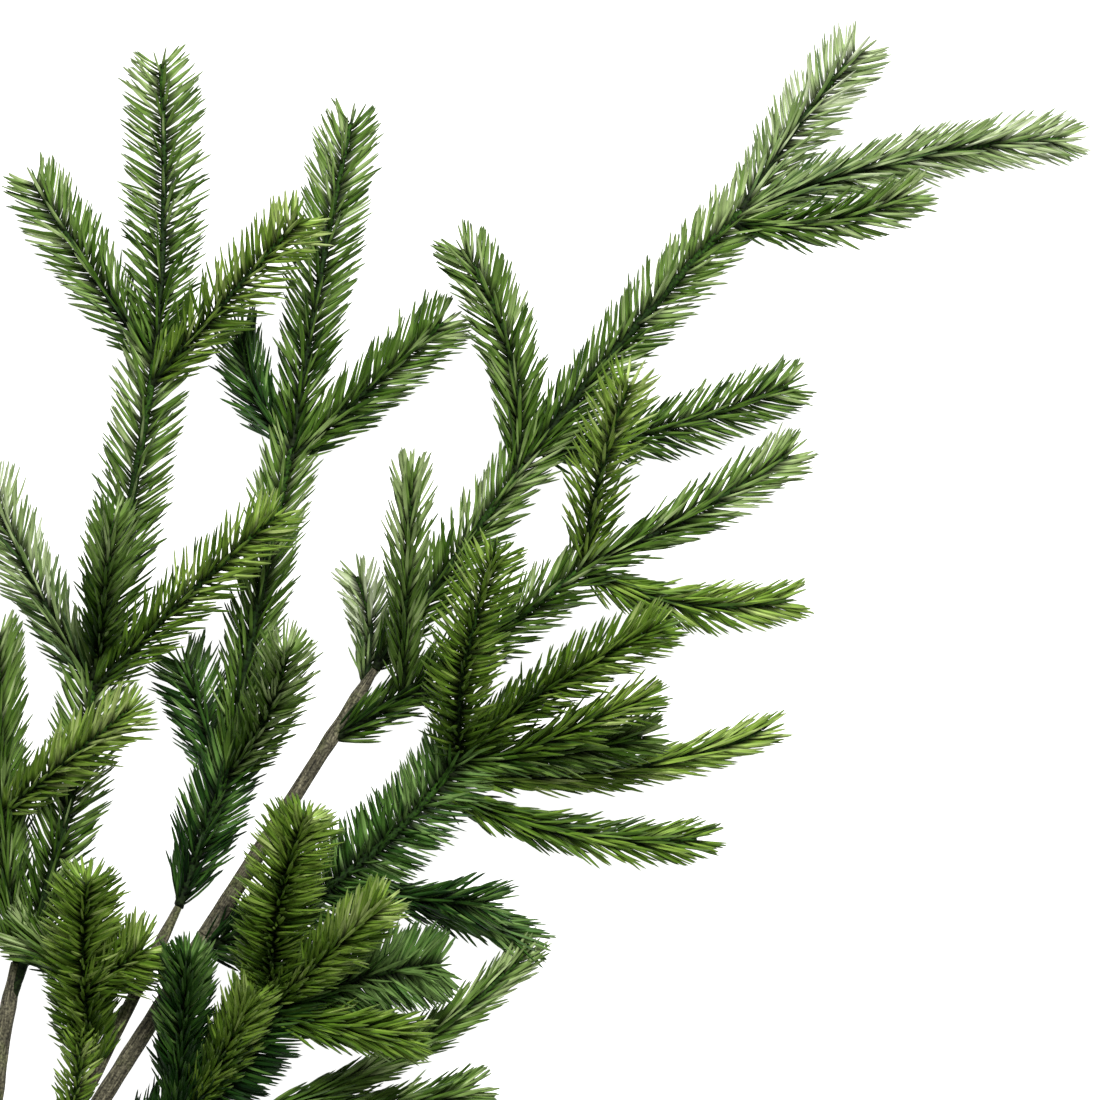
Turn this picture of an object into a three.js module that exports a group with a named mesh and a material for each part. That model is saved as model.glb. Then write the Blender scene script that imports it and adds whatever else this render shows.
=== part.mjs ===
import * as THREE from 'three';

// A cut spruce branch, lying flat with its front side up. Millimetres, +Z up off the surface.
// Seen from above, +X is to the right and +Y runs towards the tips of the upper shoots.
// Every stem, twig and shoot is one piece, split from its neighbours at the forks. Needles are
// drawn as locks: a flat-sided spike for each four or five needles, grown out of the twig.

// Needles
const LOCK_LENGTH = 18; // from the twig to the points of a lock
const LOCK_AT_TIP = 10; // the same, in the last ring of a shoot
const LOCK_STEP = 12; // along a twig, from one ring of locks to the next
const PAST_TIP = 6; // how far the last needles reach past the end of the twig
const LEAN_AT_BASE = 29; // degrees between the needles and their twig, where the shoot starts
const LEAN_HALFWAY = 49;
const LEAN_AT_TIP = 36;

// Radii of the wood
const CUT_END = 5.6;
const STEM_BASE = 4.6;
const STEM = 3.6;
const STEM_END = 2.5;
const TWIG = 1.9;
const SHOOT = 1.4;
const SHOOT_END = 0.9;

// Clear space between pieces that touch, and between the needles of neighbouring shoots
const JOINT_GAP = 0.8;
const NEEDLE_GAP = 0.7;

// Lines are measured to in straight stretches of this length, and moved along in this step
const STRETCH = 4;
const SEARCH_STEP = 0.25;

// Rings of a bare stem stand this far apart, and the last ring of a shoot this share of a step
// before its end
const STEM_STEP = 24;
const LAST_STEP = 0.4;

// A lock is tried at full length and then this much shorter each time, down to the shortest. It has
// room if these parts of its edges do.
const SHORTER_BY = 1.5;
const SHORTEST_LOCK = LOCK_LENGTH / 5;
const TRIED_PARTS = [0.2, 0.6, 1];

// The flat end of wood that forks counts for places within this many of its radii
const END_REACH = 3;

const BARK = new THREE.Color(0x5a5244);
const NEEDLE_GREEN = new THREE.Color(0x4a6b1e);
const UP = new THREE.Vector3(0, 0, 1);

const pieces = new Map();

// Lays out one piece along an arc from where it grows to its tip. bow is how far the middle of
// the arc stands to the left of the straight line, and lift how far above it. spread is how much
// its needles lean out, where 1 is the usual lean.
function grow(name, place) {
  const { from, on, at, tip, bow = 0, lift = 0, thick, sides, forks, bare = 0, past = 0, spread = 1 } = place;
  const start = from ? new THREE.Vector3(...from) : pieces.get(on).line.getPointAt(at);
  const end = new THREE.Vector3(...tip);
  const along = end.clone().sub(start).normalize();
  end.addScaledVector(along, -past);
  const left = UP.clone().cross(along).normalize();
  const middle = start.clone().lerp(end, 0.5).addScaledVector(left, 2 * bow).addScaledVector(UP, 2 * lift);
  const line = new THREE.QuadraticBezierCurve3(start, middle, end);
  const length = line.getLength();
  const places = line.getSpacedPoints(Math.ceil(length / STRETCH));
  pieces.set(name, { line, length, places, thick, sides, forks, bare, spread, woodFrom: 0, clearFrom: 0 });
}

// A bare woody stem, a needled twig that forks at its end, and a shoot with a tip of its own
const stem = (name, place) => grow(name, { sides: 8, bare: 1, forks: true, ...place });
const twig = (name, place) => grow(name, { sides: 4, thick: [TWIG, SHOOT], forks: true, ...place });
const shoot = (name, place) => grow(name, { sides: 4, thick: [SHOOT, SHOOT_END], past: PAST_TIP, ...place });

// Stems
stem('main_stem', { from: [-225, -306, CUT_END], tip: [-205, -266, 22], thick: [CUT_END, STEM_BASE] });
stem('right_stem_lower', { on: 'main_stem', at: 1, tip: [-124, -139, 27], thick: [STEM_BASE, STEM] });
stem('right_stem_upper', { on: 'right_stem_lower', at: 1, tip: [-63, -43, 28], thick: [STEM, STEM_END] });
stem('middle_stem', { on: 'right_stem_lower', at: 0.12, tip: [-134, -129, 26], lift: 6, thick: [STEM_END, TWIG] });
stem('left_stem', { on: 'main_stem', at: 1, tip: [-192, -149, 30], bow: 3, thick: [STEM, STEM_END] });

// Left spray, and the leader of the left stem
shoot('left_leader', { on: 'left_stem', at: 1, tip: [-199, -25, 27], bow: 2 });
twig('left_twig_lower', { on: 'left_stem', at: 0.86, tip: [-164, -47, 31], bow: -3, lift: 4, bare: 0.45 });
twig('left_twig_upper', { on: 'left_twig_lower', at: 1, tip: [-142, 69, 32], bow: -1 });
shoot('left_top_middle', { on: 'left_twig_upper', at: 1, tip: [-141, 182, 10], bow: -2, lift: -3, spread: 1.28 });
shoot('left_top_left', { on: 'left_twig_upper', at: 0.99, tip: [-190, 138, 10], bow: 1, lift: -3 });
shoot('left_top_right', { on: 'left_twig_upper', at: 0.92, tip: [-86, 122, 54] });
shoot('left_side_left', { on: 'left_twig_lower', at: 0.98, tip: [-205, 28, 10], bow: 2, lift: -3, spread: 0.87 });
shoot('left_side_right', { on: 'left_twig_lower', at: 0.97, tip: [-94, 16, 56], bow: 1, spread: 0.95 });
shoot('left_front', { on: 'left_twig_upper', at: 0.06, tip: [-155, 15, 66], lift: 6, spread: 0.78 });
shoot('left_low_front', { on: 'left_leader', at: 0.46, tip: [-146, -54, 58], lift: 5, spread: 0.95 });
shoot('left_low_back', { on: 'left_leader', at: 0.3, tip: [-243, -80, 10] });
shoot('left_outer', { on: 'left_stem', at: 0.62, tip: [-246, -158, 10], bow: -3 });
shoot('left_outer_front', { on: 'left_leader', at: 0.6, tip: [-232, -34, 44], bow: -2 });

// Middle spray
twig('middle_twig_lower', { on: 'middle_stem', at: 1, tip: [-116, -79, 26], spread: 0.78 });
twig('middle_twig_upper', { on: 'middle_twig_lower', at: 1, tip: [-93, 37, 22], bow: 1, spread: 0.75 });
shoot('middle_top_middle', { on: 'middle_twig_upper', at: 1, tip: [-71, 161, 10], bow: 1 });
shoot('middle_top_left', { on: 'middle_twig_upper', at: 0.99, tip: [-115, 83, 11], bow: 3, spread: 0.67 });
shoot('middle_top_right', { on: 'middle_twig_upper', at: 0.96, tip: [-34, 86, 26], spread: 0.7 });
shoot('middle_front', { on: 'middle_twig_lower', at: 0.95, tip: [-92, -32, 60], bow: -4, spread: 0.75 });
shoot('middle_back', { on: 'middle_twig_lower', at: 0.88, tip: [-135, -35, 11], bow: -1, spread: 0.83 });

// Small spray low on the middle stem
shoot('small_middle', { on: 'middle_stem', at: 0.52, tip: [-165, -113, 60], bow: 3, bare: 0.2, spread: 0.9 });
shoot('small_right', { on: 'small_middle', at: 0.42, tip: [-141, -140, 50], spread: 0.67 });
shoot('small_left', { on: 'small_middle', at: 0.5, tip: [-193, -136, 36], spread: 0.67 });
shoot('small_low', { on: 'middle_stem', at: 0.2, tip: [-167, -169, 46], bow: -4, spread: 0.5 });

// Right spray
twig('right_twig_lower', { on: 'right_stem_upper', at: 1, tip: [-9, 31, 31], spread: 0.8 });
twig('right_twig_upper', { on: 'right_twig_lower', at: 1, tip: [69, 122, 33], bow: 2, spread: 0.87 });
shoot('right_top_middle', { on: 'right_twig_upper', at: 1, tip: [115, 185, 10], bow: 2, lift: -3 });
shoot('right_top_right', { on: 'right_twig_upper', at: 0.99, tip: [192, 150, 10], bow: 6, lift: -3, spread: 0.6 });
shoot('right_top_front', { on: 'right_twig_upper', at: 0.95, tip: [134, 128, 46], bow: -5, spread: 0.7 });
shoot('right_side_left', { on: 'right_twig_lower', at: 0.94, tip: [-33, 114, 34], bow: -8, spread: 0.78 });
shoot('right_side_right', { on: 'right_twig_upper', at: 0.05, tip: [92, 61, 10], bow: -4, lift: -3, spread: 0.87 });

// Upper side spray of the right stem
twig('upper_twig', { on: 'right_stem_upper', at: 0.735, tip: [14, -5, 40], bow: -2, spread: 0.83 });
shoot('upper_middle', { on: 'upper_twig', at: 1, tip: [91, 37, 30], bow: -2, spread: 0.67 });
shoot('upper_front', { on: 'upper_twig', at: 0.98, tip: [29, 64, 70], bow: 2, spread: 1.05 });
shoot('upper_right', { on: 'upper_twig', at: 0.97, tip: [91, -19, 10], bow: -7, lift: -3, spread: 0.6 });
shoot('upper_left', { on: 'upper_twig', at: 0.27, tip: [-49, 33, 64], lift: 8, spread: 0.61 });
shoot('upper_back', { on: 'right_stem_upper', at: 0.92, tip: [-70, -4, 11], bow: -4, spread: 0.47 });

// Lower side spray of the right stem
twig('lower_twig', { on: 'right_stem_lower', at: 0.96, tip: [-32, -74, 26], bow: -10 });
shoot('lower_front', { on: 'lower_twig', at: 1, tip: [43, -25, 60], bow: 3, lift: 3, spread: 0.7 });
shoot('lower_left', { on: 'lower_twig', at: 0.99, tip: [-18, 4, 60], bow: 4, lift: 10 });
shoot('lower_middle', { on: 'lower_twig', at: 0.98, tip: [39, -66, 38], bow: -2, spread: 0.5 });
shoot('lower_middle_upper', { on: 'lower_middle', at: 0.25, tip: [38, -51, 54], lift: 3, spread: 0.55 });
shoot('lower_right', { on: 'lower_twig', at: 0.93, tip: [83, -65, 10], bow: -7, spread: 0.42 });
shoot('lower_low', { on: 'lower_twig', at: 0.88, tip: [59, -106, 10], bow: -7, spread: 0.5 });
shoot('lower_near_right', { on: 'lower_twig', at: 0.42, tip: [-3, -143, 10], bow: 4, spread: 0.5 });
shoot('lower_near_left', { on: 'lower_near_right', at: 0.35, tip: [-17, -128, 28], spread: 0.67 });

// Base spray
twig('base_twig', { on: 'right_stem_lower', at: 0.36, tip: [-99, -163, 40], bow: -12, bare: 0.3 });
shoot('base_front', { on: 'base_twig', at: 1, tip: [-57, -123, 68], lift: 3, spread: 0.67 });
shoot('base_left', { on: 'base_twig', at: 0.99, tip: [-86, -90, 66], bow: 4, lift: 4, spread: 1.2 });
shoot('base_right', { on: 'base_twig', at: 0.97, tip: [-34, -148, 30], bow: 3 });
shoot('base_right_lower', { on: 'base_twig', at: 0.95, tip: [-46, -175, 50], spread: 0.6 });
shoot('base_over_stem', { on: 'base_twig', at: 0.45, tip: [-129, -141, 56], spread: 0.6 });
shoot('base_back', { on: 'base_twig', at: 0.5, tip: [-104, -155, 56], bow: -1, spread: 0.6 });
shoot('base_low', { on: 'base_twig', at: 0.38, tip: [-4, -144, 12], bow: -14, bare: 0.25, lift: -2, spread: 0.42 });
shoot('base_lowest', { on: 'base_low', at: 0.26, tip: [-23, -195, 10], bow: -4, spread: 0.55 });

const radiusAt = (piece, u) => THREE.MathUtils.lerp(piece.thick[0], piece.thick[1], u);
const nearest = new THREE.Vector3();
const stretch = new THREE.Line3();

// How far a point stands off the wood of a piece. The wood ends flat where it forks.
function standOff(point, piece) {
  const last = piece.places.length - 1;
  if (piece.forks) {
    const offEnd = point.clone().sub(piece.places[last]);
    const ahead = offEnd.dot(piece.line.getTangentAt(1));
    if (ahead > 0 && offEnd.length() < END_REACH * piece.thick[1]) {
      const aside = Math.sqrt(offEnd.lengthSq() - ahead * ahead);
      return Math.hypot(ahead, Math.max(0, aside - piece.thick[1]));
    }
  }
  let least = Infinity;
  for (let k = 0; k < last; k += 1) {
    if (((k + 1) / last) * piece.length <= piece.woodFrom) continue;
    stretch.set(piece.places[k], piece.places[k + 1]).closestPointToPoint(point, true, nearest);
    least = Math.min(least, nearest.distanceTo(point) - radiusAt(piece, k / last));
  }
  return least;
}

// The frame of a ring at length s along a piece: its middle, and the ways along, right and up
function frameAt(piece, s) {
  const u = Math.min(s / piece.length, 1);
  const along = piece.line.getTangentAt(u);
  const right = along.clone().cross(UP).normalize();
  const up = right.clone().cross(along);
  return { middle: piece.line.getPointAt(u), along, right, up, radius: radiusAt(piece, u) };
}

// Corner i of a ring at length s, where a turned ring is half a side further round
function cornerAt(piece, s, i, turned = false) {
  const { middle, right, up, radius } = frameAt(piece, s);
  const angle = ((i + (turned ? 0.5 : 0)) * 2 * Math.PI) / piece.sides;
  return middle.addScaledVector(right, radius * Math.cos(angle)).addScaledVector(up, radius * Math.sin(angle));
}

const eachSide = (piece, make) => Array.from({ length: piece.sides }, (_, i) => make(i));

// Each piece starts as near its fork as it can. Every edge of its wood is cut off where it comes
// clear of what grew before it, so its base is slanted to fit the wood that carries it.
const grown = [];
for (const piece of pieces.values()) {
  const isClear = (place) => grown.every((other) => standOff(place, other) > JOINT_GAP);
  const firstClear = (placeAt) => {
    let s = 0;
    while (s < piece.length / 2 && !isClear(placeAt(s))) s += SEARCH_STEP;
    return s;
  };
  const cuts = eachSide(piece, (i) => firstClear((s) => cornerAt(piece, s, i)));
  const heart = firstClear((s) => frameAt(piece, s).middle);
  piece.baseRing = cuts.map((s, i) => cornerAt(piece, s, i));
  piece.baseHeart = frameAt(piece, heart).middle;
  piece.woodFrom = Math.min(...cuts, heart);
  piece.clearFrom = Math.max(...cuts, heart);
  grown.push(piece);
}

function leanAt(share) {
  const lean = share < 0.5
    ? THREE.MathUtils.lerp(LEAN_AT_BASE, LEAN_HALFWAY, share * 2)
    : THREE.MathUtils.lerp(LEAN_HALFWAY, LEAN_AT_TIP, share * 2 - 1);
  return THREE.MathUtils.degToRad(lean);
}

// The points of the lock that grows from one facet of a piece, or null where there is no room.
// It lies in the space nearest its own twig, and bends up where it meets the surface below.
function lockPoints(piece, facet, s, neighbours) {
  const share = (s - piece.clearFrom) / (piece.length - piece.clearFrom);
  if (share < piece.bare) return null;
  const root = facet[0].clone().add(facet[1]).add(facet[2]).divideScalar(3);
  const { middle, along } = frameAt(piece, s);
  const out = root.clone().sub(middle);
  out.addScaledVector(along, -out.dot(along)).normalize();
  const lean = leanAt(share) * piece.spread;
  const way = along.multiplyScalar(Math.cos(lean)).addScaledVector(out, Math.sin(lean));
  const isOwn = (place) => {
    const own = standOff(place, piece) + NEEDLE_GAP;
    return neighbours.every((other) => standOff(place, other) > own);
  };
  const nearTip = piece.forks ? 0 : Math.max(0, share * 4 - 3);
  const longest = THREE.MathUtils.lerp(LOCK_LENGTH, LOCK_AT_TIP, nearTip);
  for (let long = longest; long > SHORTEST_LOCK; long -= SHORTER_BY) {
    const points = root.clone().addScaledVector(way, long);
    points.z = Math.max(points.z, 0);
    const tried = [root, ...facet].flatMap((end) => TRIED_PARTS.map((part) => end.clone().lerp(points, part)));
    if (tried.every(isOwn)) return points;
  }
  return null;
}

// One closed solid: rings of facets from the slanted base to the tip, each facet carrying its
// lock. Wood that forks ends in a flat ring, and a shoot ends in a point.
function solidOf(piece) {
  const start = piece.clearFrom;
  const wanted = piece.bare === 1 ? STEM_STEP : LOCK_STEP;
  const steps = Math.max(2, Math.round((piece.length - start) / wanted));
  const step = (piece.length - start) / (piece.forks ? steps : steps + LAST_STEP);
  const ringAt = (k) => eachSide(piece, (i) => cornerAt(piece, start + k * step, i, k % 2 === 1));
  const rings = [piece.baseRing, ...Array.from({ length: steps }, (_, k) => ringAt(k + 1))];
  const reach = new THREE.Box3().setFromPoints(piece.places).expandByScalar(LOCK_LENGTH * 2);
  const isNear = (other) => other !== piece && other.places.some((place) => reach.containsPoint(place));
  const neighbours = grown.filter(isNear);
  const corners = [];
  const add = (a, b, c) => corners.push(a, b, c);
  const addLocked = (a, b, c, s) => {
    const points = lockPoints(piece, [a, b, c], s, neighbours);
    if (!points) return add(a, b, c);
    add(a, b, points);
    add(b, c, points);
    return add(c, a, points);
  };
  const end = piece.line.getPointAt(1);
  for (let i = 0; i < piece.sides; i += 1) {
    const next = (i + 1) % piece.sides;
    add(rings[0][i], rings[0][next], piece.baseHeart);
    for (let k = 0; k < steps; k += 1) {
      const s = start + (k + 0.5) * step;
      const [a, b] = [rings[k], rings[k + 1]];
      const [ahead, behind] = k % 2 === 0 ? [b[i], a[next]] : [b[next], a[i]];
      addLocked(a[i], ahead, a[next], s);
      addLocked(behind, b[i], b[next], s);
    }
    if (piece.forks) add(rings[steps][i], end, rings[steps][next]);
    else addLocked(rings[steps][i], end, rings[steps][next], piece.length - (LAST_STEP / 2) * step);
  }
  return corners;
}

const branch = new THREE.Group();
for (const [name, piece] of pieces) {
  const base = piece.places[0];
  const places = solidOf(piece).flatMap((corner) => corner.clone().sub(base).toArray());
  const geometry = new THREE.BufferGeometry();
  geometry.setAttribute('position', new THREE.Float32BufferAttribute(places, 3));
  const color = piece.bare === 1 ? BARK : NEEDLE_GREEN;
  const mesh = new THREE.Mesh(geometry, new THREE.MeshStandardMaterial({ color, roughness: 0.6, metalness: 0 }));
  mesh.name = name;
  mesh.position.copy(base);
  branch.add(mesh);
}

// The origin is on the surface, under the middle of the branch's box
branch.updateMatrixWorld(true);
const box = new THREE.Box3().setFromObject(branch);
branch.position.set(-(box.min.x + box.max.x) / 2, -(box.min.y + box.max.y) / 2, -box.min.z);

export default branch;
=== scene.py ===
"""A cut spruce branch that lies on a white table: bark, twigs and some sixteen thousand needles."""

import math
import zlib

import bmesh
import bpy
import numpy as np
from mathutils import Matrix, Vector, kdtree, noise


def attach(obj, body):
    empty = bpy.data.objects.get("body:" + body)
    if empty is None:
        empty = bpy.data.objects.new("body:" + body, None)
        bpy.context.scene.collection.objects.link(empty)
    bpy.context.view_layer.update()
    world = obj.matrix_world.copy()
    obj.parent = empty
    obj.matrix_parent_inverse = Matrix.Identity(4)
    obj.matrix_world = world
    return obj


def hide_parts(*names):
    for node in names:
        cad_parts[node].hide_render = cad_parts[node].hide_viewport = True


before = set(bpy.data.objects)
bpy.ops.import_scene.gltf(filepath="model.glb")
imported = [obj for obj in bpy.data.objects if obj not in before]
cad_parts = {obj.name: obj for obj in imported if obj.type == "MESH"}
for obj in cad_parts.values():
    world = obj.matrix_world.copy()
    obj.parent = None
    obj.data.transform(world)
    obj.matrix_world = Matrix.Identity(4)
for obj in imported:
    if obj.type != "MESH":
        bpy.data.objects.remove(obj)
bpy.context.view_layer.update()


# Camera
# It hangs above the lying branch and looks straight down. The picture leaves out the lower left
# part of the branch, so its middle is up and to the right of the branch's own.
MM = 0.001
PICTURE_MIDDLE = (28.8 * MM, 60.3 * MM)
PICTURE_WIDTH = 396 * MM
SHARP_HEIGHT = 30 * MM
CAMERA_ABOVE = 3000 * MM

camera = bpy.data.objects.new("camera", bpy.data.cameras.new("camera"))
camera.data.lens = camera.data.sensor_width * CAMERA_ABOVE / PICTURE_WIDTH
camera.location = (*PICTURE_MIDDLE, SHARP_HEIGHT + CAMERA_ABOVE)
bpy.context.scene.collection.objects.link(camera)
bpy.context.scene.camera = camera


# Table and light
# A light table of white opal acrylic, which glows from below and so shows no shadow, under one
# large soft lamp beyond the top of the picture and an even white sky.
TABLE_SIZE = 30.0
TABLE_GLOW = 0.97
LAMP_SIZE = 1.0
LAMP_PLACE = Vector((0.4, 1.5, 2.3))
LAMP_WATTS = 135
SKY_STRENGTH = 0.5


def linear(hex_colour):
    """An sRGB hex colour as linear red, green, blue and alpha."""
    shares = [int(hex_colour[k : k + 2], 16) / 255 for k in (1, 3, 5)]
    return (*[c / 12.92 if c <= 0.04045 else ((c + 0.055) / 1.055) ** 2.4 for c in shares], 1.0)


def add_node(tree, kind, inputs=(), stops=(), **settings):
    """Adds a shader node with its settings, the stops of its ramp, and values or links on its sockets."""
    made = tree.nodes.new("ShaderNode" + kind)
    for name, value in settings.items():
        setattr(made, name, value)
    for socket, value in dict(inputs).items():
        if isinstance(value, bpy.types.NodeSocket):
            tree.links.new(value, made.inputs[socket])
        else:
            made.inputs[socket].default_value = value
    for k, (place, colour) in enumerate(stops):
        ramp = made.color_ramp.elements
        stop = ramp[k] if k < 2 else ramp.new(place)
        stop.position = place
        stop.color = linear(colour)
    return made


def new_material(name, **shader):
    """A material named for the real one, with its node tree and its shader, and plain values set on that."""
    made = bpy.data.materials.new(name)
    made.use_nodes = True
    surface = made.node_tree.nodes["Principled BSDF"]
    for socket, value in shader.items():
        surface.inputs[socket.replace("_", " ")].default_value = value
    return made, made.node_tree, surface


def add_object(name, bm, *materials):
    """Makes a finished bmesh an object, with its materials in their slots."""
    made = bpy.data.objects.new(name, bpy.data.meshes.new(name))
    bm.to_mesh(made.data)
    bm.free()
    for material in materials:
        made.data.materials.append(material)
    bpy.context.scene.collection.objects.link(made)
    return made


# Opal acrylic, lit from behind: matt, white and without a pattern that the eye could find
opal, _, opal_shader = new_material("opal_acrylic_table", Roughness=0.9, Emission_Strength=TABLE_GLOW)
opal_shader.inputs["Base Color"].default_value = linear("#bebebc")
opal_shader.inputs["Emission Color"].default_value = linear("#ffffff")

bm = bmesh.new()
bmesh.ops.create_grid(bm, x_segments=1, y_segments=1, size=TABLE_SIZE / 2)
add_object("table", bm, opal)

lamp = bpy.data.objects.new("lamp", bpy.data.lights.new("lamp", "AREA"))
lamp.data.size = LAMP_SIZE
lamp.data.energy = LAMP_WATTS
lamp.location = LAMP_PLACE
lamp.rotation_euler = (-LAMP_PLACE).to_track_quat("-Z", "Y").to_euler()
bpy.context.scene.collection.objects.link(lamp)

sky = bpy.data.worlds.new("sky")
sky.use_nodes = True
sky_light = sky.node_tree.nodes["Background"]
sky_light.inputs["Color"].default_value = linear("#ffffff")
sky_light.inputs["Strength"].default_value = SKY_STRENGTH
bpy.context.scene.world = sky
bpy.context.scene.view_settings.view_transform = "Standard"


# Stems
# The bare wood of the branch, which carries every side twig: five lengths, parted at the main
# forks, with thin grey-brown bark, a swelling where a twig leaves, and a clean saw cut at the foot.
# Each is drawn at a share of the CAD node's thickness, and three taper to the twig that ends them.
STEM_SHARES = {
    "main_stem": 0.82,
    "right_stem_lower": 0.8,
    "right_stem_upper": 0.9,
    "middle_stem": 1.12,
    "left_stem": 1.0,
}
TAPERED_TO = {"right_stem_upper": 0.5, "middle_stem": 0.55, "left_stem": 0.7}
TAPER_LONG = 12 * MM
STEM_SIDES = 28
BARK_LUMPS = 0.04
LUMP_SIZE = 7 * MM
BARK_RIDGES = 0.04
RIDGES_ROUND = 3
RIDGES_ALONG = 0.5
COLLAR = 0.12
COLLAR_LENGTH = 5 * MM
BARK_THICK = 0.6 * MM
BARK_LIP = BARK_THICK / 4
LINE_STEP = 1 * MM  # between the points of a line
SAME_CORNER = 0.001 * MM
LONG_LOCKS = 80  # the percentile of its locks' reach that counts as a piece's own
BASE_RUN = 3  # points that give the way in which a line leaves its base
ROOT_STEPS = 25  # points that a root may be long
STRAIGHT_ROOTS = 9  # millimetres that a root may be longer to end one nearer to other wood


def wood_of(name):
    """The line of a CAD node's wood and its radii, a millimetre apart, from its base to its end, and
    how far the points of its longer locks of needles stand off that line."""
    bm = bmesh.new()
    bm.from_mesh(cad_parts[name].data)
    bmesh.ops.remove_doubles(bm, verts=bm.verts, dist=SAME_CORNER)
    # The point of a lock of needles has three edges, and all other corners are the wood's own
    wood = np.array([corner.co for corner in bm.verts if len(corner.link_edges) > 3])
    locks = np.array([corner.co for corner in bm.verts if len(corner.link_edges) == 3]).reshape(-1, 3)
    bm.free()
    middle = wood.mean(0)
    along = (wood - middle) @ np.linalg.svd(wood - middle)[2][0]
    arc = [np.polyfit(along, side, 2) for side in wood.T]
    off = np.linalg.norm(wood - np.transpose([np.polyval(fit, along) for fit in arc]), axis=1)
    # Both ends have a corner in the middle of the wood, so the taper is read without those
    outer = off > MM / 2
    taper = np.polyfit(along[outer], off[outer], 1)
    places = np.linspace(along.min(), along.max(), int(np.ptp(along) / LINE_STEP) + 2)
    if taper[0] > 0:
        places = places[::-1]
    line = np.transpose([np.polyval(fit, places) for fit in arc])
    reach = np.linalg.norm(locks[:, None] - line, axis=2).min(1)
    return line, np.polyval(taper, places), np.percentile(reach, LONG_LOCKS) if len(reach) else 0


def rooted(name):
    """A piece's line and radii, taken back straight into the wood that it grew from."""
    line, radii = woods[name]
    others = np.concatenate([points for other, (points, _) in woods.items() if other != name])
    back = (line[0] - line[BASE_RUN]) / np.linalg.norm(line[0] - line[BASE_RUN])
    steps = np.arange(ROOT_STEPS) * LINE_STEP
    # Back to where the way passes closest to other wood, if that isn't much further
    gaps = np.linalg.norm((line[0] + steps[:, None] * back)[:, None] - others, axis=2)
    far, nearest = np.unravel_index((gaps + steps[:, None] / STRAIGHT_ROOTS).argmin(), gaps.shape)
    shares = np.linspace(0, 1, far + 2, endpoint=False)[:, None]
    root = others[nearest] * (1 - shares) + line[0] * shares
    return np.concatenate([root, line]), np.concatenate([np.full(len(root), radii[0]), radii])


woods, reaches = {}, {}
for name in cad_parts:
    *woods[name], reaches[name] = wood_of(name)
lines = {name: rooted(name) if name != "main_stem" else woods[name] for name in woods}


def ways_along(line):
    """The directions along, right and up at every point of a line."""
    along = np.gradient(line, axis=0)
    along /= np.linalg.norm(along, axis=1)[:, None]
    right = np.cross(along, (0, 0, 1))
    right /= np.linalg.norm(right, axis=1)[:, None]
    return along, right, np.cross(right, along)


def straight_tube(sides, rings):
    """A closed upright tube of radius 1 from height 0 to 1, as a bmesh."""
    bm = bmesh.new()
    bmesh.ops.create_cone(bm, cap_ends=True, segments=sides, radius1=1, radius2=1, depth=1)
    bmesh.ops.translate(bm, verts=bm.verts, vec=(0, 0, 0.5))
    upright = [edge for edge in bm.edges if edge.calc_length() == 1]
    bmesh.ops.subdivide_edges(bm, edges=upright, cuts=rings - 2)
    return bm


def map_tube(bm, name, long, start, wide):
    """The map of an upright tube: along it to long, and round it from start, as wide as that."""
    layer = bm.loops.layers.uv.new(name)
    for face in bm.faces:
        middle = face.calc_center_median()
        turn = math.atan2(middle.y, middle.x)
        for loop in face.loops:
            at = loop.vert.co
            away = math.remainder(math.atan2(at.y, at.x) - turn, 2 * math.pi)
            share = (turn + away) / (2 * math.pi) + 0.5
            loop[layer].uv = (at.z * long, start + wide * share)


def bend_onto(bm, line, radius_at):
    """Moves an upright tube onto a line. radius_at takes the number of a ring and an angle round it."""
    _, right, up = ways_along(line)
    for corner in bm.verts:
        k = round(corner.co.z * (len(line) - 1))
        angle = math.atan2(corner.co.y, corner.co.x)
        out = math.cos(angle) * right[k] + math.sin(angle) * up[k]
        corner.co = line[k] + radius_at(k, angle) * out


# Young spruce bark: thin, dry and matt, grey-brown with paler scuffs and an olive bloom of algae,
# in shallow cracks that run along the stem. Its map is in millimetres, along and round the wood.
CRACK_LONG = 9.0
CRACK_WIDE = 0.9
CRACK_DEEP = 0.5 * MM
ALGAE_PATCH = 9 * MM
GRIT = 0.9 * MM
bark, tree, shader = new_material("young_spruce_bark", Specular_IOR_Level=0.25)
wood_map = add_node(tree, "UVMap", uv_map="wood")
grain = add_node(
    tree, "Mapping", {"Vector": wood_map.outputs["UV"], "Scale": (1 / CRACK_LONG, 1 / CRACK_WIDE, 1)}
)
cracks = add_node(tree, "TexNoise", {"Vector": grain.outputs[0], "Scale": 1, "Detail": 5, "Roughness": 0.65})
solid = add_node(tree, "TexCoord").outputs["Object"]
patches = add_node(tree, "TexNoise", {"Vector": solid, "Scale": 1 / ALGAE_PATCH, "Detail": 4})
grit = add_node(tree, "TexNoise", {"Vector": solid, "Scale": 1 / GRIT, "Detail": 2})
brown = add_node(
    tree,
    "ValToRGB",
    {"Fac": cracks.outputs["Fac"]},
    stops=((0.3, "#1c1b14"), (0.42, "#403d30"), (0.56, "#66624e"), (0.72, "#999379")),
)
bloom = add_node(
    tree, "ValToRGB", {"Fac": patches.outputs["Fac"]}, stops=((0.5, "#000000"), (0.66, "#b0b0b0"))
)
greened = add_node(
    tree,
    "MixRGB",
    {"Fac": bloom.outputs["Color"], "Color1": brown.outputs["Color"], "Color2": linear("#5a6530")},
)
speckled = add_node(
    tree, "ValToRGB", {"Fac": grit.outputs["Fac"]}, stops=((0.35, "#8c8c8c"), (0.6, "#ffffff"))
)
dusty = add_node(
    tree,
    "MixRGB",
    {"Fac": 1, "Color1": greened.outputs["Color"], "Color2": speckled.outputs["Color"]},
    blend_type="MULTIPLY",
)
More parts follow.
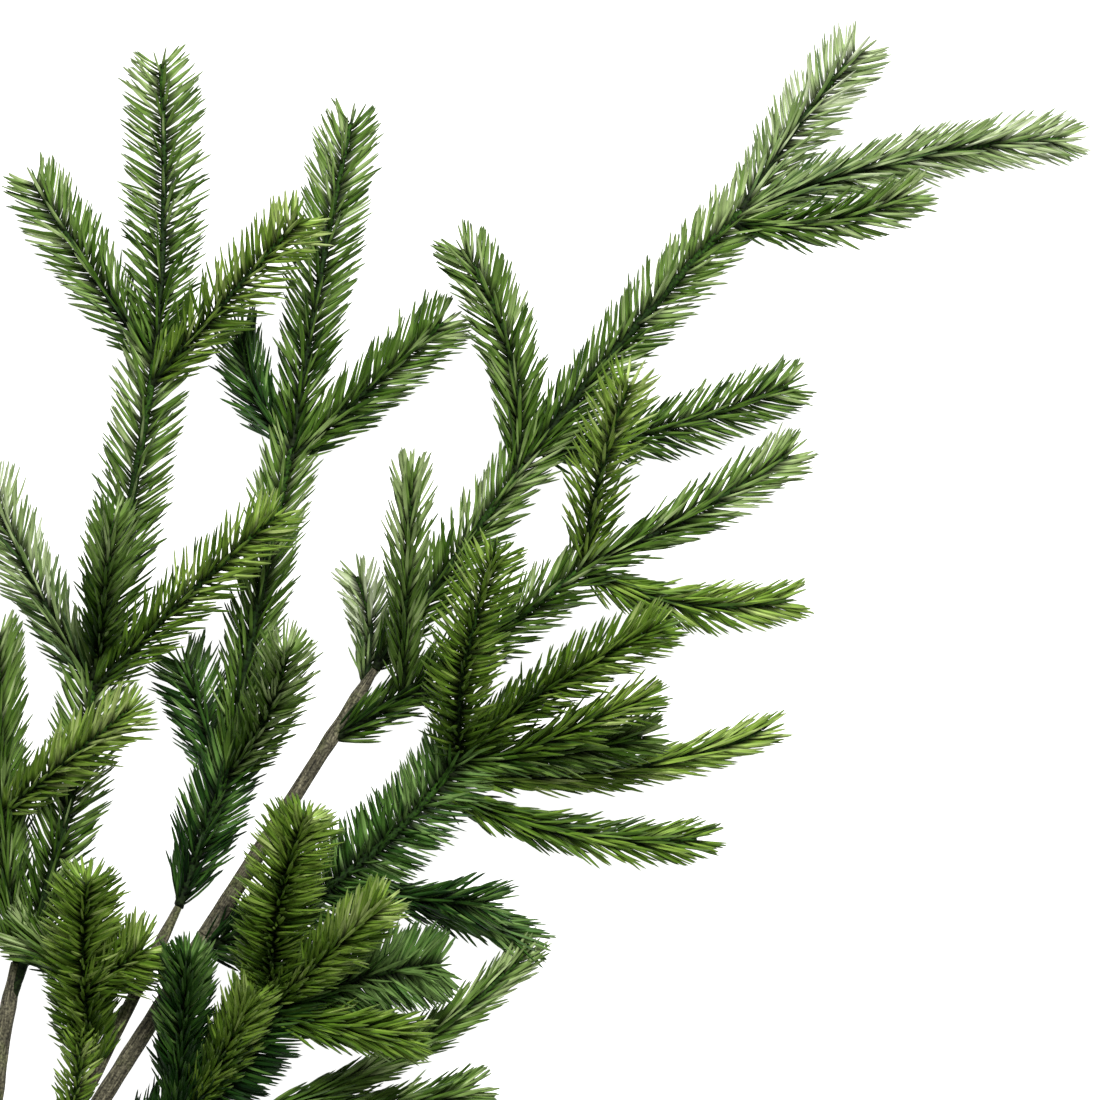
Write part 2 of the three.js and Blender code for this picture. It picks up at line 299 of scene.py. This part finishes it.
tree.links.new(dusty.outputs["Color"], shader.inputs["Base Color"])
dryness = add_node(tree, "MapRange", {"Value": cracks.outputs["Fac"], "To Min": 0.95, "To Max": 0.7})
tree.links.new(dryness.outputs["Result"], shader.inputs["Roughness"])
relief = add_node(tree, "Math", {0: cracks.outputs["Fac"], 1: grit.outputs["Fac"]}, operation="ADD")
bump = add_node(tree, "Bump", {"Height": relief.outputs[0], "Distance": CRACK_DEEP, "Strength": 0.8})
tree.links.new(bump.outputs["Normal"], shader.inputs["Normal"])

# Fresh-sawn spruce: matt, pale yellow wood with a darker line at the end of each year's ring. Its map
# is in millimetres from the middle of the stem.
RING_WIDE = 1.3
sawn, tree, shader = new_material("sawn_spruce_wood", Roughness=0.75)
wood_map = add_node(tree, "UVMap", uv_map="wood")
from_pith = add_node(tree, "VectorMath", {0: wood_map.outputs["UV"]}, operation="LENGTH")
ring_number = add_node(tree, "Math", {0: from_pith.outputs["Value"], 1: RING_WIDE}, operation="DIVIDE")
ring_share = add_node(tree, "Math", {0: ring_number.outputs[0]}, operation="FRACT")
ringed = add_node(
    tree,
    "ValToRGB",
    {"Fac": ring_share.outputs[0]},
    stops=((0.0, "#c9ac7c"), (0.6, "#bf9d68"), (0.9, "#8f6a3c"), (1.0, "#c9ac7c")),
)
tree.links.new(ringed.outputs["Color"], shader.inputs["Base Color"])


def forks_of(name):
    """The places on a stem where other pieces leave it, as numbers of its points."""
    line = lines[name][0]
    starts = [points[0] for other, (points, _) in lines.items() if other != name]
    gaps = [np.linalg.norm(line - start, axis=1) for start in starts]
    return [gap.argmin() for gap in gaps if gap.min() < MM]


for name, stem_share in STEM_SHARES.items():
    line, radii = lines[name]
    forks = forks_of(name)
    millimetres = len(line) - 1
    girth = 2 * math.pi * radii.mean() / MM

    def bark_at(k, angle):
        """The radius of the bark at one point, with its lumps, its ridges and its collars at forks."""
        round_it = Vector((math.cos(angle), math.sin(angle), k * LINE_STEP / LUMP_SIZE))
        lumps = BARK_LUMPS * noise.noise(round_it)
        across_it = RIDGES_ROUND * round_it.xy
        ridges = BARK_RIDGES * noise.noise(Vector((*across_it, RIDGES_ALONG * round_it.z)))
        collars = sum(COLLAR * math.exp(-(((k - fork) * LINE_STEP / COLLAR_LENGTH) ** 2)) for fork in forks)
        taper = np.interp((millimetres - k) * LINE_STEP, (0, TAPER_LONG), (TAPERED_TO.get(name, 1), 1))
        return stem_share * taper * radii[k] * (1 + lumps + ridges + min(collars, COLLAR))

    bm = straight_tube(STEM_SIDES, len(line))
    map_tube(bm, "wood", millimetres, 0, girth)
    bend_onto(bm, line, bark_at)
    if name == "main_stem":
        layer = bm.loops.layers.uv["wood"]
        ends = [face for face in bm.faces if len(face.verts) == STEM_SIDES]
        cut = min(ends, key=lambda face: face.calc_center_median().y)
        bmesh.ops.inset_region(bm, faces=[cut], thickness=BARK_THICK, depth=-BARK_LIP)
        cut.material_index = 1
        pith = cut.calc_center_median()
        across = cut.verts[0].co - pith
        across.normalize()
        over = cut.normal.cross(across)
        for loop in cut.loops:
            place = loop.vert.co - pith
            loop[layer].uv = (place.dot(across) / MM, place.dot(over) / MM)
    for face in bm.faces:
        face.smooth = len(face.verts) == 4
    stem = add_object(f"{name}_bark", bm, bark, sawn)
    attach(stem, "root")
    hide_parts(name)


# Needled twigs
# Every twig and shoot that bears needles is one piece: thin wood with a green-brown skin over leaf
# cushions, and four-sided needles, each on the wood in a spiral, that lean towards the tip.
TWIG_SIDES = 10
CUSHIONS = 0.14
CUSHION_LONG = 2.4 * MM
CUSHIONS_ROUND = 2
END_INSET = 0.9  # of a ring, so that a rounded end comes almost to a point
NEEDLE_WIDE = 1.25 * MM
NEEDLE_THICK = 0.9 * MM
# How broad a needle is at these shares of its length, from its foot to its point
NEEDLE_HEIGHTS = (0, 0.1, 0.4, 0.72, 0.92, 1)
NEEDLE_WIDTHS = (0.6, 0.9, 1, 0.92, 0.55, 0)


def needle_shape():
    """One upright needle of length 1 with a narrow foot and a blunt point: its corners and triangles."""
    bm = bmesh.new()
    bmesh.ops.create_cone(bm, cap_ends=True, segments=4, radius1=1, radius2=0, depth=1)
    bmesh.ops.translate(bm, verts=bm.verts, vec=(0, 0, 0.5))
    for height in NEEDLE_HEIGHTS[1:-1]:
        everything = [*bm.verts, *bm.edges, *bm.faces]
        bmesh.ops.bisect_plane(bm, geom=everything, plane_co=(0, 0, height), plane_no=(0, 0, 1))
    for corner in bm.verts:
        if corner.co.z < NEEDLE_HEIGHTS[-1]:
            wide = np.interp(corner.co.z, NEEDLE_HEIGHTS, NEEDLE_WIDTHS)
            corner.co.xy = corner.co.xy.normalized() * wide / 2
    bmesh.ops.triangulate(bm, faces=bm.faces)
    bm.verts.index_update()
    corners = np.array([corner.co for corner in bm.verts])
    faces = np.array([[corner.index for corner in face.verts] for face in bm.faces])
    bm.free()
    return corners, faces


NEEDLE, NEEDLE_FACES = needle_shape()
NEAR_WOOD = 5 * MM

all_wood = kdtree.KDTree(sum(len(line) for line, _ in lines.values()))
wood_owner = [(name, radius) for name, (_, radii) in lines.items() for radius in radii]
for number, place in enumerate(place for line, _ in lines.values() for place in line):
    all_wood.insert(place, number)
all_wood.balance()


def meets_wood(places, own):
    """Whether a needle, given by a few places on it, runs through the wood of another piece."""
    for place in places:
        for _, number, gap in all_wood.find_range(place, NEAR_WOOD):
            owner, radius = wood_owner[number]
            if owner != own and gap < radius:
                return True
    return False


# One map for all needled pieces. Its X runs along a needle or a twig. Its Y is how young a needle is,
# up to the top of the needles' band, and in the twig's band above it the turn round the twig.
NEEDLE_MAP = "OFBake"
NEEDLE_BAND = 0.84
TWIG_BAND = 0.88
YOUTH_ON_MAP = (0.02, 0.98)
MAP_SLANT = 0.01


def needle_material(name, tones, tip):
    """Spruce needle in one colour family: tones runs from old to young, and tip is the dry point's."""
    green, tree, shader = new_material(name, Specular_IOR_Level=0.12)
    at = add_node(tree, "SeparateXYZ", {"Vector": add_node(tree, "UVMap", uv_map=NEEDLE_MAP).outputs["UV"]})
    youth = add_node(tree, "MapRange", {"Value": at.outputs["Y"], "From Max": NEEDLE_BAND})
    body = add_node(tree, "ValToRGB", {"Fac": youth.outputs["Result"]}, stops=tones)
    # Painted shade: each needle darkens towards its foot, where it sits deep in the shoot, and it is a
    # little darker towards its point
    shade = add_node(
        tree,
        "ValToRGB",
        {"Fac": at.outputs["X"]},
        stops=((0.0, "#242424"), (0.18, "#969696"), (0.4, "#ffffff"), (0.85, "#d6d6d6")),
    )
    shaded = add_node(
        tree,
        "MixRGB",
        {"Fac": 1, "Color1": body.outputs["Color"], "Color2": shade.outputs["Color"]},
        blend_type="MULTIPLY",
    )
    dry = add_node(tree, "ValToRGB", {"Fac": at.outputs["X"]}, stops=((0.82, "#000000"), (1.0, "#c8c8c8")))
    tipped = add_node(
        tree,
        "MixRGB",
        {"Fac": dry.outputs["Color"], "Color1": shaded.outputs["Color"], "Color2": linear(tip)},
    )
    tree.links.new(tipped.outputs["Color"], shader.inputs["Base Color"])
    wax = add_node(tree, "MapRange", {"Value": at.outputs["X"], "To Min": 0.6, "To Max": 0.42})
    tree.links.new(wax.outputs["Result"], shader.inputs["Roughness"])
    return green


# Spruce needles are leathery, with a thin wax that gives a soft sheen. Old ones are near-black
# green, young ones yellow-green, and every needle is painted darker at its foot as painted shade
# deep in the shoot. On some shoots the wax makes them grey-green; that grey and the palest tones
# at the young end of each family are also a painted sheen of light.
# The palest tones at the young end of each family are partly a painted sheen of light
NEEDLE_GREENS = {
    "deep": needle_material(
        "old_spruce_needles",
        ((0.0, "#081c08"), (0.35, "#1b3a10"), (0.7, "#406424"), (1.0, "#6e8c4c")),
        "#243020",
    ),
    "green": needle_material(
        "spruce_needles",
        ((0.0, "#142c08"), (0.35, "#3c5a16"), (0.7, "#64803a"), (1.0, "#93a56e")),
        "#36432c",
    ),
    "fresh": needle_material(
        "young_spruce_needles",
        ((0.0, "#2a4410"), (0.35, "#557420"), (0.7, "#7a963a"), (1.0, "#a3b46c")),
        "#55633c",
    ),
    # Grey-green from wax, and also a painted sheen of light
    "grey": needle_material(
        "waxy_spruce_needles_and_painted_sheen",
        ((0.0, "#304a22"), (0.35, "#627a40"), (0.7, "#8ea06c"), (1.0, "#bac4a2")),
        "#6b7a60",
    ),
}

# Skin of a young spruce twig: thin, dull and green, a little brown towards the base, and mottled by
# its leaf cushions. Its near-black dark green is painted shade, where the twig lies deep among its
# needles.
SPECKLE = 1 * MM
twig_skin_and_shade, tree, shader = new_material("spruce_twig_skin_and_painted_shade", Roughness=0.7, Specular_IOR_Level=0.1)
at = add_node(tree, "SeparateXYZ", {"Vector": add_node(tree, "UVMap", uv_map=NEEDLE_MAP).outputs["UV"]})
# Painted shade: the skin is kept near-black green for the shade of the needles that cover it
skin = add_node(
    tree,
    "ValToRGB",
    {"Fac": at.outputs["X"]},
    stops=((0.0, "#1c260e"), (0.15, "#18290c"), (0.6, "#1c340c"), (1.0, "#305214")),
)
solid = add_node(tree, "TexCoord").outputs["Object"]
speckle = add_node(tree, "TexNoise", {"Vector": solid, "Scale": 1 / SPECKLE})
mottled = add_node(
    tree, "ValToRGB", {"Fac": speckle.outputs["Fac"]}, stops=((0.35, "#707070"), (0.65, "#ffffff"))
)
skinned = add_node(
    tree,
    "MixRGB",
    {"Fac": 1, "Color1": skin.outputs["Color"], "Color2": mottled.outputs["Color"]},
    blend_type="MULTIPLY",
)
tree.links.new(skinned.outputs["Color"], shader.inputs["Base Color"])


# How the needles stand on their wood. Three values are for the base, the middle and the tip.
NEEDLES_PER_MM = 2.75
NEEDLES_FROM = 4  # points before a piece's own wood starts, so that needles cover its fork
BARE_FOOT = 3  # points at the very root that bear none
FOOT_DEPTH = 0.8  # of the wood's radius
GOLDEN_TURN = math.radians(137.5)
TURN_SPREAD = 0.15
TO_THE_SIDES = (0.2, 0.5, 0.9)
ALL_ROUND_RISE = 0.3  # of the shoot's length, from which on its needles stand all round
FULL_LEAN = math.radians(70)
LEAN_SHARES = (0.7, 1, 0.85)
LEAN_SPREAD = math.radians(4.5)
CURL = math.radians(10)
CURL_SHARES = (0.4, 1.6)
NEEDLE_LONG = 17.5 * MM
NEEDLE_AT_BASE = 15.5 * MM
NEEDLE_AT_TIP = 11 * MM
FULL_LENGTH = (0.2, 0.88)  # of the shoot, between which its needles are longest
LENGTH_SHARES = (0.88, 1.08)
SWAY = 0.06
MIDDLE_YOUTH = 0.5
YOUTH_RISE = 0.4  # from the base of a shoot to its tip
YOUTH_SPREAD = 0.18
YOUTH_PATCHES = 0.35
YOUTH_PATCH_SIZE = 12 * MM


def needles_on(line, radii, own, first, long, thick, wide, draws):
    """The needles of one piece, from its line's point first on: all their corners, and how young each
    needle is, from 0 for an old one to 1."""
    count = int((len(line) - 1 - first) * NEEDLES_PER_MM * thick)
    number = np.arange(count)
    share = (number + draws.uniform(0, 1, count)) / count
    place = first + share * (len(line) - 1 - first)
    turn = number * GOLDEN_TURN + draws.normal(0, TURN_SPREAD, count)
    # A shoot that lies has its needles parted to the sides, and one that rises has them all round
    rise = (line[-1][2] - line[0][2]) / (LINE_STEP * len(line))
    parting = np.interp(share, (0, 0.5, 1), TO_THE_SIDES)
    turn -= np.interp(rise, (0, ALL_ROUND_RISE), (1, 0)) * parting * np.sin(2 * turn)
    # Halfway up, the needles lean out as far as the points of the CAD node's locks stand off
    out_share = (wide * reaches[own] - radii.mean()) / (long * NEEDLE_LONG)
    widest = min(math.asin(min(out_share, 1)) + CURL / 2, FULL_LEAN)
    lean = np.interp(share, (0, 0.5, 1), [lean_share * widest for lean_share in LEAN_SHARES])
    lean += draws.normal(0, LEAN_SPREAD, count)
    curl = CURL * draws.uniform(*CURL_SHARES, count)
    # A twig goes on in other pieces, so only the needles of a shoot get short at its tip
    last = NEEDLE_LONG if "twig" in own else NEEDLE_AT_TIP
    size = np.interp(share, (0, *FULL_LENGTH, 1), (NEEDLE_AT_BASE, NEEDLE_LONG, NEEDLE_LONG, last))
    size *= long * draws.uniform(*LENGTH_SHARES, count)
    sway = draws.normal(0, SWAY, count)
    roll = draws.uniform(0, math.pi, count)

    every = np.arange(len(line))
    ways = ways_along(line)
    middle, along, right, up = (
        np.transpose([np.interp(place, every, side) for side in way.T]) for way in (line, *ways)
    )
    out = np.cos(turn)[:, None] * right + np.sin(turn)[:, None] * up
    aside = np.cross(along, out)
    foot = middle + FOOT_DEPTH * np.interp(place, every, radii)[:, None] * out

    # Every corner is worked out for all needles at once: needle, corner, direction
    height = NEEDLE[:, 2]
    lean, curl, size, sway, roll = (values[:, None] for values in (lean, curl, size, sway, roll))
    at_lean = lean - curl * height
    ahead = size * (np.sin(lean) - np.sin(at_lean)) / curl
    outward = size * (np.cos(at_lean) - np.cos(lean)) / curl
    along, out, aside = (way[:, None] for way in (along, out, aside))
    spine = foot[:, None] + ahead[..., None] * along + outward[..., None] * out
    spine += (size * sway * height)[..., None] * aside
    # Those that would go under the table lie flat on it
    spine[..., 2] = np.maximum(spine[..., 2], NEEDLE_WIDE / 2)
    flat = np.cos(at_lean)[..., None] * out - np.sin(at_lean)[..., None] * along
    broad = NEEDLE_WIDE * (np.cos(roll)[..., None] * aside + np.sin(roll)[..., None] * flat)
    deep = NEEDLE_THICK * (np.cos(roll)[..., None] * flat - np.sin(roll)[..., None] * aside)
    corners = spine + NEEDLE[:, 0, None] * broad + NEEDLE[:, 1, None] * deep

    # A needle is left out if its middle or its point would be in other wood
    spots = np.argsort(height)[[len(height) // 2, -1]]
    clear = [not meets_wood(spine[n, spots], own) for n in range(count)]
    youth = MIDDLE_YOUTH + YOUTH_RISE * (share - 0.5) + draws.normal(0, YOUTH_SPREAD, count)
    patches = np.array([noise.noise(Vector(spot) / YOUTH_PATCH_SIZE) for spot in spine[:, -1]])
    youth += YOUTH_PATCHES * patches
    return corners[clear], youth[clear]


def needled(name, green="green", young=0.0, long=1.0, thick=1.0, wide=1.0, bare=0.0):
    """Makes one needled piece. green is its colour family, and young makes its needles younger in that.
    long and thick are shares of the usual length and number of needles, wide of the width of the
    CAD's locks, and bare of its wood that has no needles, at its base."""
    line, radii = lines[name]
    draws = np.random.default_rng(zlib.crc32(name.encode()))
    rings = len(line)
    own_start = rings - len(woods[name][0])
    first = max(own_start - NEEDLES_FROM, BARE_FOOT) + bare * (rings - own_start)

    def skin_at(k, angle):
        """The radius of the twig at one point, with its leaf cushions and its rounded ends."""
        round_it = CUSHIONS_ROUND * Vector((math.cos(angle), math.sin(angle)))
        cushions = noise.noise(Vector((*round_it, k * LINE_STEP / CUSHION_LONG)))
        from_end = min(1, (min(rings - k, k + 1) - END_INSET) * LINE_STEP / radii[-1])
        return radii[k] * (1 + CUSHIONS * cushions) * math.sqrt(1 - (1 - from_end) ** 2)

    bm = straight_tube(TWIG_SIDES, rings)
    map_tube(bm, NEEDLE_MAP, 1, TWIG_BAND, 1 - TWIG_BAND)
    bend_onto(bm, line, skin_at)
    for face in bm.faces:
        face.material_index = 1
        face.smooth = True

    corners, youth = needles_on(line, radii, name, first, long, thick, wide, draws)
    count, each = corners.shape[:2]
    faces = NEEDLE_FACES + each * np.arange(count)[:, None, None]
    mesh = bpy.data.meshes.new(name)
    mesh.from_pydata(corners.reshape(-1, 3), [], faces.reshape(-1, 3))
    heights = np.broadcast_to(NEEDLE[NEEDLE_FACES, 2], faces.shape)
    # A needle's corners differ a little in Y, so that its faces have an area on the map
    slant = np.broadcast_to(NEEDLE[NEEDLE_FACES, 0] * MAP_SLANT, faces.shape)
    tones = np.clip(youth + young, *YOUTH_ON_MAP)[:, None, None] * NEEDLE_BAND + slant
    mesh.uv_layers.new(name=NEEDLE_MAP)
    mesh.uv_layers[NEEDLE_MAP].data.foreach_set("uv", np.stack([heights, tones], axis=-1).ravel())
    bm.from_mesh(mesh)
    bpy.data.meshes.remove(mesh)

    piece = add_object(f"{name}_needles", bm, NEEDLE_GREENS[green], twig_skin_and_shade)
    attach(piece, "root")
    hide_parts(name)


# Left spray
# It grows on the left stem: its leader and the shoots beside that, and a twig in two lengths, with
# three shoots at the fork between them and three at the top. The foremost are this year's.
needled("left_leader", young=0.05, thick=1.6)
needled("left_twig_lower", bare=0.1)
needled("left_twig_upper", young=0.05)
needled("left_top_middle", young=0.05)
needled("left_top_left", young=0.05)
needled("left_top_right", "fresh", young=0.05, thick=1.15, wide=1.1)
needled("left_side_left", "grey", young=-0.05)
needled("left_side_right", "fresh", young=-0.1)
needled("left_front", thick=1.3)
needled("left_low_front", "fresh", young=0.15, thick=1.3)
needled("left_low_back", young=-0.1)
needled("left_outer")
needled("left_outer_front")

# Middle spray
# It ends the middle stem: two lengths of twig, with three shoots at the top and two at the lower
# fork. It is the lowest and oldest of the sprays, so most of it is dark.
needled("middle_twig_lower", "deep", thick=1.3, wide=1.2)
needled("middle_twig_upper", young=0.05)
needled("middle_top_middle")
needled("middle_top_left", "deep", young=0.1)
needled("middle_top_right", thick=1.2, wide=1.2)
needled("middle_front", young=0.15, thick=1.8, wide=1.2)
needled("middle_back", "deep", young=0.1, thick=1.3, wide=1.15)

# Small spray
# One shoot low on the middle stem bears two more, all three thick with needles, mostly this year's.
# A thin fourth one grows nearer to the stem's foot.
needled("small_middle", "fresh", young=-0.05, thick=2.9, wide=1.3)
needled("small_right", "fresh", young=-0.05, thick=3, wide=1.4)
needled("small_left", young=0.15, thick=2.8, wide=1.1)
needled("small_low", "fresh", young=-0.1, long=0.6, thick=1.3)

# Right spray
# It ends the right stem: two lengths of twig, with three shoots at the top and two at the lower
# fork. The two outermost shoots are grey with wax and with a painted sheen.
needled("right_twig_lower", young=0.05)
needled("right_twig_upper", young=0.15)
needled("right_top_middle", "grey", young=0.1)
needled("right_top_right", "grey", thick=1.1, wide=1.1)
needled("right_top_front", young=0.15)
needled("right_side_left", young=0.1, thick=1.2, wide=1.1)
needled("right_side_right", young=-0.1)

# Upper side spray of the right stem
# It grows from the upper length of the right stem: one straight twig, with three shoots at its end
# and one near its start. A short shoot, grey with wax and with a painted sheen, grows on the stem
# beside it.
needled("upper_twig")
needled("upper_middle", young=0.15)
needled("upper_front", "fresh", young=0.05)
needled("upper_right", "fresh")
needled("upper_left", young=0.2)
needled("upper_back", "grey", young=0.1, long=0.75)

# Lower side spray of the right stem
# It grows just below the fork of the right stem: one thick curved twig with six shoots near its end,
# this year's in front, and near its start an old dark one that bears another.
needled("lower_twig", "deep", young=0.15, thick=1.9, wide=1.3)
needled("lower_front", "fresh", young=-0.15, thick=1.5, wide=1.2)
needled("lower_left", "fresh", young=-0.1, thick=1.5, wide=1.2)
needled("lower_middle", thick=1.2, wide=1.15)
needled("lower_middle_upper", "fresh", young=-0.1)
needled("lower_right", "fresh", young=0.05)
needled("lower_low", "fresh", young=-0.2)
needled("lower_near_right", "deep", young=0.1)
needled("lower_near_left", "deep")

# Base spray
# It grows low on the right stem: one twig with four shoots at its end, three along it, and one more
# on the lowest of those. It is the densest of all, with this year's shoots among old dark ones.
needled("base_twig", "deep", young=-0.2, thick=2.8, wide=1.3, bare=0.15)
needled("base_front", "fresh", young=0.05, long=0.95, thick=2.6, wide=1.2)
needled("base_left", "fresh", young=-0.1, thick=3.4, wide=1.35)
needled("base_right", "deep", young=0.35, thick=3.2, wide=1.3)
needled("base_right_lower", "fresh", young=-0.15, thick=2)
needled("base_over_stem", "deep", young=-0.05, long=0.95, thick=3, wide=1.3)
needled("base_back", "fresh", young=-0.05, long=0.95, thick=2.8, wide=1.25)
needled("base_low", young=0.1, bare=0.25)
needled("base_lowest", thick=1.3)
